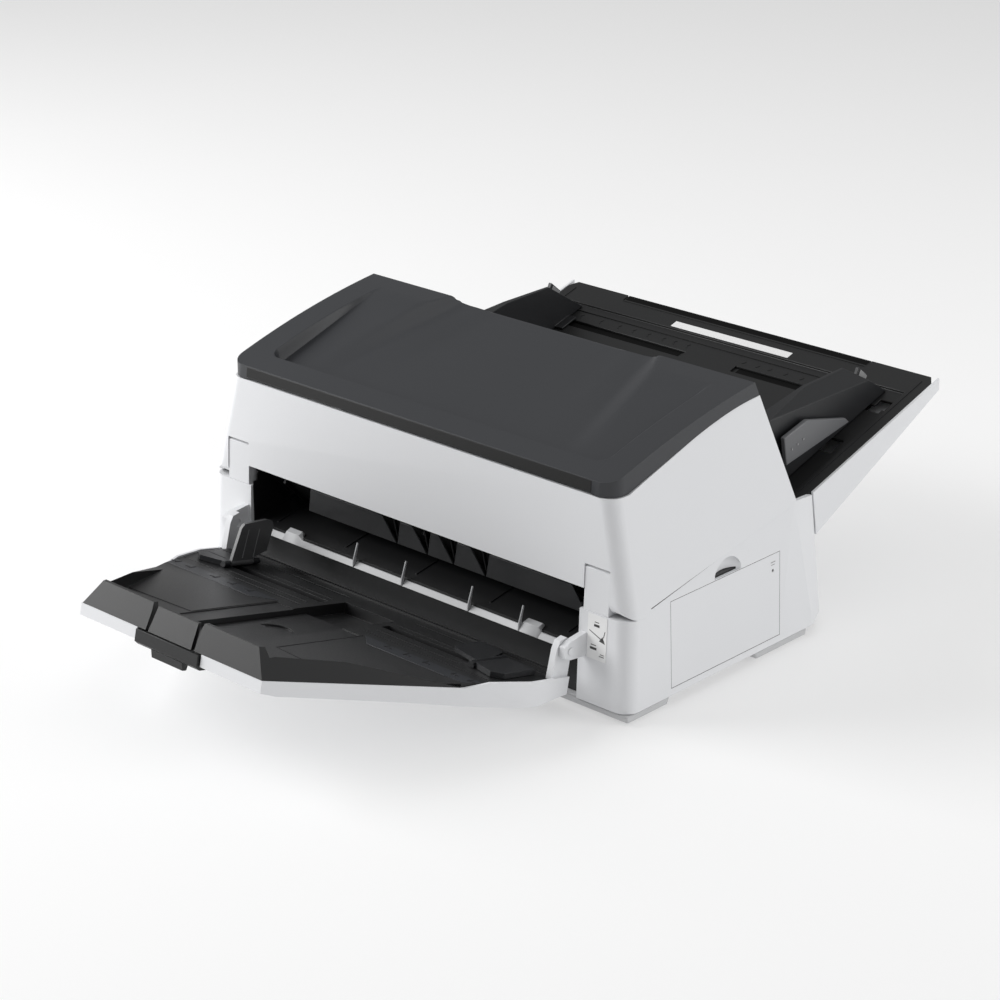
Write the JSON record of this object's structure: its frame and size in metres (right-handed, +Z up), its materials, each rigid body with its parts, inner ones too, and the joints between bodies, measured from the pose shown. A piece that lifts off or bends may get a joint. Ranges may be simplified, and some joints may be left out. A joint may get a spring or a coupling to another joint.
{
  "type": "sheet fed document scanner",
  "caption": "Desktop sheet fed scanner: rear input chute, hinged upper unit, straight roller path and a fold-up output tray.",
  "frame": {"origin": "centre of the overall footprint, on the surface the scanner stands on", "axes": "+X to the machine's right hand side seen from the output tray, +Y towards the input chute, +Z up"},
  "size_m": [0.432, 0.6311, 0.209],
  "materials": {
    "white_housing": "fine spark texture, cool light grey",
    "charcoal_top": "fine satin texture",
    "black_path": "fine texture, semi matte",
    "grey_parts": "smooth semi matte",
    "pan_grey": "textured, light grey",
    "dark_parts": "textured",
    "rubber_black": "matte",
    "roller_rubber": "ground",
    "steel": "bright zinc",
    "glass": "clear",
    "optics_case": "matte black",
    "circuit_board": "green resist",
    "pulley_plastic": "natural acetal"
  },
  "bodies": {
    "housing": {"base_pan": "pan_grey", "rubber_feet": "rubber_black", "right_cover": "white_housing", "left_cover": "white_housing", "rear_cover": "white_housing", "housing_screws": "steel", "front_columns": "white_housing", "inner_frames": "steel", "lower_guide": "black_path", "exit_bar": "grey_parts", "lower_glass": "glass", "lower_optics": "optics_case", "main_board": "circuit_board", "drive_motor": "optics_case", "drive_belt": "rubber_black", "power_inlet": "dark_parts", "usb_port": "steel", "operator_panel": "dark_parts", "display_window": "glass", "chute_tray": "black_path", "chute_shell": "white_housing"},
    "upper_unit": {"upper_cover": "white_housing", "top_cover": "charcoal_top", "fascia": "charcoal_top", "hinge_pins": "steel", "upper_guide": "black_path", "upper_glass": "glass", "upper_optics": "optics_case"},
    "motor_pulley": {"motor_pulley": "pulley_plastic"},
    "power_switch": {"power_switch": "dark_parts"},
    "right_door": {"right_door": "white_housing"},
    "left_door": {"left_door": "white_housing"},
    "pick_roller": {"pick_shaft": "steel", "pick_rollers": "roller_rubber"},
    "feed_roller": {"feed_shaft": "steel", "feed_rollers": "roller_rubber", "feed_pulley": "pulley_plastic"},
    "eject_roller": {"eject_shaft": "steel", "eject_rollers": "roller_rubber", "eject_pulley": "pulley_plastic"},
    "brake_roller": {"brake_rollers": "roller_rubber"},
    "upper_feed_roller": {"upper_feed_rollers": "roller_rubber"},
    "upper_eject_roller": {"upper_eject_rollers": "roller_rubber"},
    "chute_extension": {"chute_extension": "black_path"},
    "left_guide": {"left_guide": "black_path"},
    "right_guide": {"right_guide": "black_path"},
    "release_lever": {"release_lever": "grey_parts"},
    "stacker": {"stacker_shell": "white_housing", "stacker_tray": "black_path"},
    "stacker_extension": {"stacker_extension": "black_path"},
    "stacker_stopper": {"stacker_stopper": "black_path"},
    "left_stacker_guide": {"left_stacker_guide": "black_path"},
    "right_stacker_guide": {"right_stacker_guide": "black_path"},
    "left_stacker_fin": {"left_stacker_fin": "grey_parts"},
    "right_stacker_fin": {"right_stacker_fin": "grey_parts"},
    "power_button": {"power_button": "dark_parts"},
    "scan_button": {"scan_button": "dark_parts"},
    "menu_button": {"menu_button": "dark_parts"}
  },
  "joints": [
    {"name": "upper_open", "type": "hinge", "parent": "housing", "child": "upper_unit", "pos_m": [0, -0.0724, 0.0874], "axis": [1, 0, 0], "range_deg": [0, 60]},
    {"name": "stacker_fold", "type": "hinge", "parent": "housing", "child": "stacker", "pos_m": [0, -0.1014, 0.051], "axis": [1, 0, 0], "range_deg": [-70, 0]},
    {"name": "stacker_pull", "type": "slide", "parent": "stacker", "child": "stacker_extension", "axis": [0, -0.9744, 0.225], "range_m": [0, 0.12]},
    {"name": "stopper_fold", "type": "hinge", "parent": "stacker_extension", "child": "stacker_stopper", "pos_m": [0, -0.30812, 0.07491], "axis": [1, 0, 0], "range_deg": [-70, 0]},
    {"name": "left_stacker_guide_slide", "type": "slide", "parent": "stacker", "child": "left_stacker_guide", "axis": [1, 0, 0], "range_m": [-0.002, 0.085]},
    {"name": "right_stacker_guide_slide", "type": "slide", "parent": "stacker", "child": "right_stacker_guide", "axis": [1, 0, 0], "range_m": [-0.085, 0.002]},
    {"name": "left_fin_fold", "type": "hinge", "parent": "left_stacker_guide", "child": "left_stacker_fin", "pos_m": [-0.128, -0.13291, 0.03898], "axis": [0, 0.9744, -0.225], "range_deg": [0, 88.5]},
    {"name": "right_fin_raise", "type": "hinge", "parent": "right_stacker_guide", "child": "right_stacker_fin", "pos_m": [0.128, -0.13291, 0.03898], "axis": [0, 0.9744, -0.225], "range_deg": [0, 88.5]},
    {"name": "left_guide_slide", "type": "slide", "parent": "housing", "child": "left_guide", "axis": [1, 0, 0], "range_m": [-0.003, 0.118]},
    {"name": "right_guide_slide", "type": "slide", "parent": "housing", "child": "right_guide", "axis": [1, 0, 0], "range_m": [-0.11, 0.012]},
    {"name": "release_squeeze", "type": "hinge", "parent": "right_guide", "child": "release_lever", "pos_m": [0.165, 0.1906, 0.1212], "axis": [0, -0.9843, -0.1767], "range_deg": [0, 5], "stiffness_Nm_per_rad": 1},
    {"name": "chute_extension_pull", "type": "slide", "parent": "housing", "child": "chute_extension", "axis": [0, 0.9563, 0.2924], "range_m": [0, 0.06]},
    {"name": "right_door_open", "type": "hinge", "parent": "housing", "child": "right_door", "pos_m": [0.2157, 0.0236, 0.0134], "axis": [0, 1, 0], "range_deg": [0, 90]},
    {"name": "left_door_open", "type": "hinge", "parent": "housing", "child": "left_door", "pos_m": [-0.2157, 0.0236, 0.0134], "axis": [0, -1, 0], "range_deg": [0, 90]},
    {"name": "power_switch_rock", "type": "hinge", "parent": "housing", "child": "power_switch", "pos_m": [-0.086, 0.1458, 0.032], "axis": [1, 0, 0], "range_deg": [0, 12]},
    {"name": "feed_turn", "type": "hinge", "parent": "housing", "child": "feed_roller", "pos_m": [0, 0.05105, 0.06324], "axis": [1, 0, 0], "continuous": true},
    {"name": "eject_turn", "type": "hinge", "parent": "housing", "child": "eject_roller", "pos_m": [0, -0.02295, 0.04962], "axis": [1, 0, 0], "continuous": true},
    {"name": "motor_turn", "type": "hinge", "parent": "housing", "child": "motor_pulley", "pos_m": [0, 0.0116, 0.032], "axis": [1, 0, 0], "continuous": true},
    {"name": "pick_turn", "type": "hinge", "parent": "housing", "child": "pick_roller", "pos_m": [0, 0.08305, 0.06913], "axis": [1, 0, 0], "continuous": true},
    {"name": "brake_turn", "type": "hinge", "parent": "upper_unit", "child": "brake_roller", "pos_m": [0, 0.0801, 0.08516], "axis": [1, 0, 0], "continuous": true},
    {"name": "upper_feed_turn", "type": "hinge", "parent": "upper_unit", "child": "upper_feed_roller", "pos_m": [0, 0.0481, 0.07927], "axis": [1, 0, 0], "continuous": true},
    {"name": "upper_eject_turn", "type": "hinge", "parent": "upper_unit", "child": "upper_eject_roller", "pos_m": [0, -0.0259, 0.06565], "axis": [1, 0, 0], "continuous": true},
    {"name": "power_button_press", "type": "slide", "parent": "housing", "child": "power_button", "axis": [-1, 0, 0], "range_m": [0, 0.0012], "stiffness_N_per_m": 400},
    {"name": "scan_button_press", "type": "slide", "parent": "housing", "child": "scan_button", "axis": [-1, 0, 0], "range_m": [0, 0.0012], "stiffness_N_per_m": 400},
    {"name": "menu_button_press", "type": "slide", "parent": "housing", "child": "menu_button", "axis": [-1, 0, 0], "range_m": [0, 0.0012], "stiffness_N_per_m": 400}
  ],
  "couplings": [
    {"joint": "eject_turn", "follows": "feed_turn", "ratio": 1},
    {"joint": "motor_turn", "follows": "feed_turn", "ratio": 1.12},
    {"joint": "upper_feed_turn", "follows": "feed_turn", "ratio": -1.2857},
    {"joint": "upper_eject_turn", "follows": "feed_turn", "ratio": -1.2857}
  ]
}
